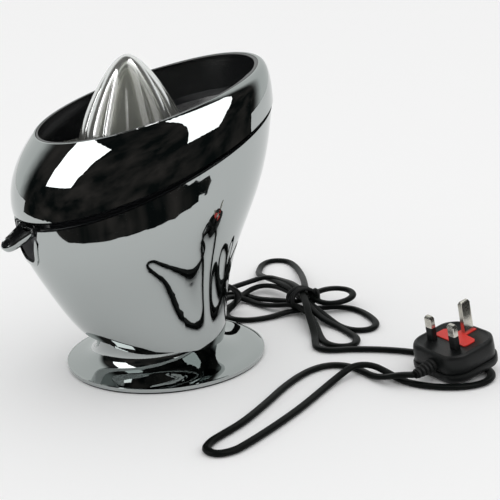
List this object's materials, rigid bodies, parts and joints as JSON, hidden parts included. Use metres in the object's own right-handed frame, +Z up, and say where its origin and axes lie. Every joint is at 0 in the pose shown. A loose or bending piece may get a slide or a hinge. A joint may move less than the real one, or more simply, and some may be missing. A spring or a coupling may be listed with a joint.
{
  "type": "citrus press juicer",
  "caption": "Upright electric citrus press: chrome waisted body on a round foot, tilted lift-off bowl with clear ribbed reamers, folding spout and mains lead.",
  "frame": {"origin": "centre of the round foot, on the surface the juicer stands on", "axes": "+Z up along the foot axis; -Y is the front, where the spout pours; +X is to the right when facing +Y"},
  "size_m": [0.3324, 0.3083, 0.2196],
  "materials": {
    "chrome": "mirror polished chrome plate",
    "black_gloss": "gloss",
    "clear_plastic": "clear moulded plastic",
    "rubber": "matte",
    "cord_pvc": "satin PVC",
    "plug_black": "satin",
    "plug_red": "satin",
    "pin_brass": "nickel-plated brass",
    "steel": "satin",
    "copper": "enamelled winding",
    "nylon": "satin",
    "grey_plastic": "satin"
  },
  "bodies": {
    "root": {"body_shell": "chrome", "bottom_plate": "grey_plastic", "bottom_screws": "steel", "cord_gland": "rubber", "cord_hank": "cord_pvc", "cord_lead": "cord_pvc", "cord_tail": "cord_pvc", "counterweight": "steel", "cover_bush": "nylon", "deck": "black_gloss", "earth_pin": "pin_brass", "foot": "chrome", "foot_pad": "rubber", "frame_bracket": "steel", "gearbox_case": "grey_plastic", "gearbox_cover": "grey_plastic", "gearbox_screws": "steel", "idler_pin": "steel", "lever_pin": "steel", "line_pin": "pin_brass", "microswitch": "grey_plastic", "motor_bolts": "steel", "motor_bracket": "steel", "motor_coils": "copper", "motor_stator": "steel", "neutral_pin": "pin_brass", "pin_sleeves": "plug_black", "plug_body": "plug_black", "plug_cover": "plug_black", "plug_label": "plug_red", "plug_relief": "rubber", "plunger_bush": "nylon", "pocket_insert": "black_gloss", "pocket_trim": "chrome", "return_spring": "steel", "shaft_bush": "nylon", "terminal_block": "nylon"},
    "plunger": {"press_plunger": "nylon"},
    "drive": {"drive_shaft": "steel", "output_gear": "nylon"},
    "idler": {"idler_gear": "nylon", "idler_pinion": "nylon"},
    "rotor": {"motor_rotor": "steel", "motor_pinion": "nylon"},
    "lever": {"switch_lever": "nylon"},
    "bowl": {"splash_band": "chrome", "bowl_liner": "black_gloss", "spout_pins": "steel"},
    "spout": {"spout": "chrome"},
    "strainer": {"strainer": "clear_plastic"},
    "turning_bush": {"strainer_bush": "clear_plastic"},
    "cone": {"small_reamer": "clear_plastic"},
    "big_cone": {"large_reamer": "clear_plastic"}
  },
  "joints": [
    {"name": "drive_press", "type": "slide", "parent": "root", "child": "plunger", "axis": [0, 0, -1], "range_m": [0, 0.0025], "stiffness_N_per_m": 500, "springref_m": -0.01, "deforming": ["return_spring"]},
    {"name": "drive_spin", "type": "hinge", "parent": "plunger", "child": "drive", "pos_m": [0, -0.0117, 0.12], "axis": [0, 0, 1], "continuous": true},
    {"name": "idler_spin", "type": "hinge", "parent": "root", "child": "idler", "pos_m": [0.0195, -0.03037, 0.09], "axis": [0, 0, 1], "continuous": true},
    {"name": "motor_spin", "type": "hinge", "parent": "root", "child": "rotor", "pos_m": [0, -0.04757, 0.07], "axis": [0, 0, 1], "continuous": true},
    {"name": "lever_tilt", "type": "hinge", "parent": "root", "child": "lever", "pos_m": [0, 0.014, 0.0731], "axis": [1, 0, 0], "range_deg": [0, 10]},
    {"name": "bowl_lift", "type": "slide", "parent": "root", "child": "bowl", "axis": [0, 0, 1], "range_m": [0, 0.12]},
    {"name": "spout_fold", "type": "hinge", "parent": "bowl", "child": "spout", "pos_m": [0, -0.0935, 0.114], "axis": [1, 0, 0], "range_deg": [0, 40]},
    {"name": "strainer_lift", "type": "slide", "parent": "bowl", "child": "strainer", "axis": [0, 0, 1], "range_m": [0, 0.1]},
    {"name": "reamer_spin", "type": "hinge", "parent": "strainer", "child": "turning_bush", "pos_m": [0, -0.0117, 0.155], "axis": [0, 0, 1], "continuous": true},
    {"name": "reamer_press", "type": "slide", "parent": "turning_bush", "child": "cone", "axis": [0, 0, -1], "range_m": [0, 0.0025]},
    {"name": "big_cone_lift", "type": "slide", "parent": "cone", "child": "big_cone", "axis": [0, 0, 1], "range_m": [0, 0.07]}
  ],
  "couplings": [
    {"joint": "drive_spin", "follows": "motor_spin", "ratio": 0.10526},
    {"joint": "idler_spin", "follows": "motor_spin", "ratio": -0.36842},
    {"joint": "reamer_spin", "follows": "motor_spin", "ratio": 0.10526},
    {"joint": "reamer_press", "follows": "drive_press", "ratio": 1},
    {"joint": "lever_tilt", "follows": "drive_press", "rad_per_m": 64}
  ]
}
